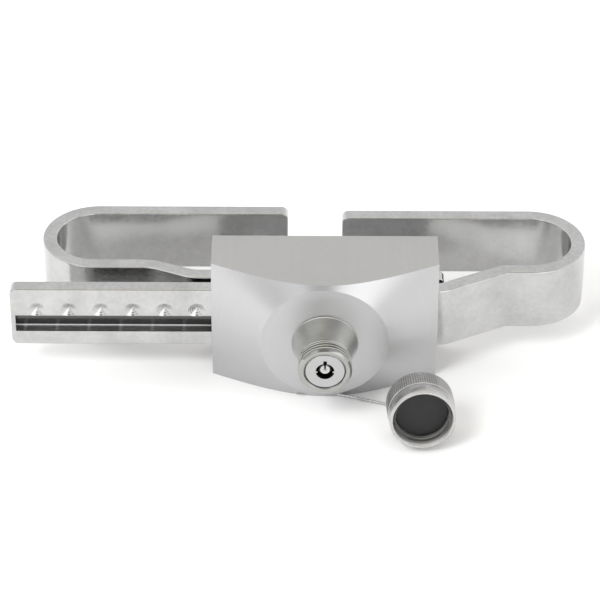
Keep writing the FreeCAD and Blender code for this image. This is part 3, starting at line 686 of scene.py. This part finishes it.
def plain_steel(name, low, high, roughness):
    """Small steel or brass piece: fine grain, faint wear."""
    look = Look(name, high, 1.0, roughness[0])
    place = look.place()
    grain = look.noise(place, 900.0, 4.0)
    wear = look.noise(place, 210.0, 3.0)
    tone = look.math("MULTIPLY", look.math("ADD", grain, wear), 0.5)
    look.feed("Base Color", look.mix(look.span(tone, 0.35, 0.65, 0.0, 1.0), low, high))
    look.feed("Roughness", look.span(tone, 0.35, 0.65, roughness[0], roughness[1]))
    look.bump(grain, 0.01 * MM, 0.4)
    return look.material


def rubber():
    """Black moulded rubber, matt, with a fine pebble and a little dust."""
    look = Look("black_rubber_seal", (0.028, 0.028, 0.029), 0.0, 0.62)
    place = look.place()
    pebble = look.noise(place, 1400.0, 3.0)
    dust = look.noise(place, 160.0, 5.0, roughness=0.65)
    look.feed("Base Color", look.mix(look.span(dust, 0.45, 0.8, 0.0, 1.0),
                                     (0.012, 0.012, 0.013), (0.028, 0.028, 0.028)))
    look.feed("Roughness", look.span(dust, 0.3, 0.7, 0.5, 0.75))
    look.bump(pebble, 0.03 * MM, 0.5)
    return look.material


looks = {
    "cast_aluminium_block": turned_block(),
    "plated_steel": plated_bar(),
    "stainless": turned_steel(
        "turned_stainless", (0.50, 0.497, 0.475), (0.64, 0.637, 0.61), (0.10, 0.17), 0.2,
        roots=(14.55 * MM, 14.88 * MM), cut_band=(-43.0 * MM, -51.0 * MM), root_shade=0.9,
        end_darkening=0.5),
    "knurled_stainless": turned_steel(
        "turned_cap_stainless", (0.46, 0.457, 0.45), (0.58, 0.575, 0.565), (0.24, 0.34), 0.3,
        roots=(18.35 * MM, 18.7 * MM), cut_band=(-0.9 * MM, -12.2 * MM), root_shade=0.3,
        bore_r=15.2 * MM),
    "chrome_face": face_chrome(),
    "brass_pin": plain_steel("brass_pins", (0.58, 0.42, 0.18), (0.78, 0.60, 0.30), (0.2, 0.4)),
    "spring_steel": plain_steel("spring_wire", (0.30, 0.30, 0.31), (0.48, 0.48, 0.49),
                                (0.25, 0.4)),
    "hardened_steel": plain_steel("hardened_steel", (0.22, 0.22, 0.23), (0.40, 0.40, 0.41),
                                  (0.2, 0.38)),
    "black_rubber": rubber(),
    "cable_steel": plain_steel("cable_wire", (0.52, 0.52, 0.53), (0.74, 0.74, 0.75),
                               (0.2, 0.38)),
}

for part in record["subparts"]:
    for place in nodes[part["node"]].material_slots:
        place.material = looks[part["material_slot"]]
for place in nodes["lock_plug"].material_slots:
    place.material = plug_steel()
for place in nodes["right_arm"].material_slots:
    place.material = plated_bar(ratchet=True)
for piece in (cable, nose, cap, seal):
    piece.data.materials.append(looks[piece["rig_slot"]])


# ---------------------------------------------------------------- floor, light and surroundings

def add_floor():
    """Plain pale sweep under the lock."""
    look = Look("pale_floor", (0.93, 0.93, 0.93), 0.0, 0.75)
    shade = look.noise(look.place(), 3.0, 2.0)
    look.feed("Base Color", look.mix(shade, (0.925, 0.925, 0.925), (0.94, 0.94, 0.94)))
    mesh = bpy.data.meshes.new("floor")
    half = 4.0
    mesh.from_pydata([(-half, -half, 0), (half, -half, 0), (half, half, 0), (-half, half, 0)],
                     [], [(0, 1, 2, 3)])
    floor = link("floor", mesh, look.material)
    floor.location.z = cad_box[0][2] - 0.02 * MM


def add_softbox(name, place, aim, size, power, colour=(1.0, 1.0, 1.0)):
    data = bpy.data.lights.new(name, "AREA")
    data.shape = "RECTANGLE"
    data.size, data.size_y = size
    data.energy = power
    data.color = colour
    light = bpy.data.objects.new(name, data)
    light.visible_glossy = False
    light.location = place
    light.rotation_euler = (Vector(aim) - Vector(place)).to_track_quat("-Z", "Y").to_euler()
    bpy.context.scene.collection.objects.link(light)


# Colour, direction, and the angles from it at which the patch begins and has faded out.
SKY_PATCHES = [
    ((0.93, 0.93, 0.93), (0.0, 0.8, 0.6), 15, 50),
    ((0.85, 0.85, 0.85), (-0.9, -0.4, 0.1), 15, 40),
    ((0.98, 0.93, 0.76), (0.0, 0.4, 0.9), 8, 22),
    ((0.98, 0.93, 0.76), (0.0, -0.38, 0.93), 6, 16),
    ((0.6, 0.6, 0.6), (0.45, -0.45, 0.75), 12, 30),
    ((2.2, 2.2, 2.2), (0.48, -0.85, 0.2), 12, 26),
    ((0.35, 0.35, 0.35), (-0.06, -0.78, 0.62), 10, 20),
]


def add_world():
    """Even studio surroundings, warm overhead, bright at front right, dim at the camera."""
    world = bpy.data.worlds.new("studio")
    world.use_nodes = True
    tree = world.node_tree
    bpy.context.scene.world = world
    background = tree.nodes["Background"]
    direction = tree.nodes.new("ShaderNodeTexCoord").outputs["Generated"]

    def patch(towards, inner_deg, outer_deg):
        dot = tree.nodes.new("ShaderNodeVectorMath")
        dot.operation = "DOT_PRODUCT"
        tree.links.new(direction, dot.inputs[0])
        dot.inputs[1].default_value = Vector(towards).normalized()
        spread = tree.nodes.new("ShaderNodeMapRange")
        spread.interpolation_type = "SMOOTHSTEP"
        spread.inputs["From Min"].default_value = math.cos(math.radians(outer_deg))
        spread.inputs["From Max"].default_value = math.cos(math.radians(inner_deg))
        tree.links.new(dot.outputs["Value"], spread.inputs["Value"])
        return spread.outputs[0]

    def over(below, colour, mask):
        mix = tree.nodes.new("ShaderNodeMix")
        mix.data_type = "RGBA"
        tree.links.new(mask, mix.inputs["Factor"])
        if isinstance(below, bpy.types.NodeSocket):
            tree.links.new(below, mix.inputs[6])
        else:
            mix.inputs[6].default_value = (*below, 1.0)
        mix.inputs[7].default_value = (*colour, 1.0)
        return mix.outputs[2]

    sky = (1.2, 1.2, 1.2)
    for colour, towards, inner_deg, outer_deg in SKY_PATCHES:
        sky = over(sky, colour, patch(towards, inner_deg, outer_deg))
    tree.links.new(sky, background.inputs["Color"])
    background.inputs["Strength"].default_value = 1.0


add_floor()
add_world()
add_softbox("key", (-0.75, -0.85, 1.25), (0.0, 0.0, 0.0), (0.6, 0.6), 12.0)
add_softbox("side", (-1.5, 0.5, 1.0), (0.0, 0.0, 0.0), (0.8, 0.8), 7.0)
bpy.context.scene.view_settings.view_transform = "Standard"
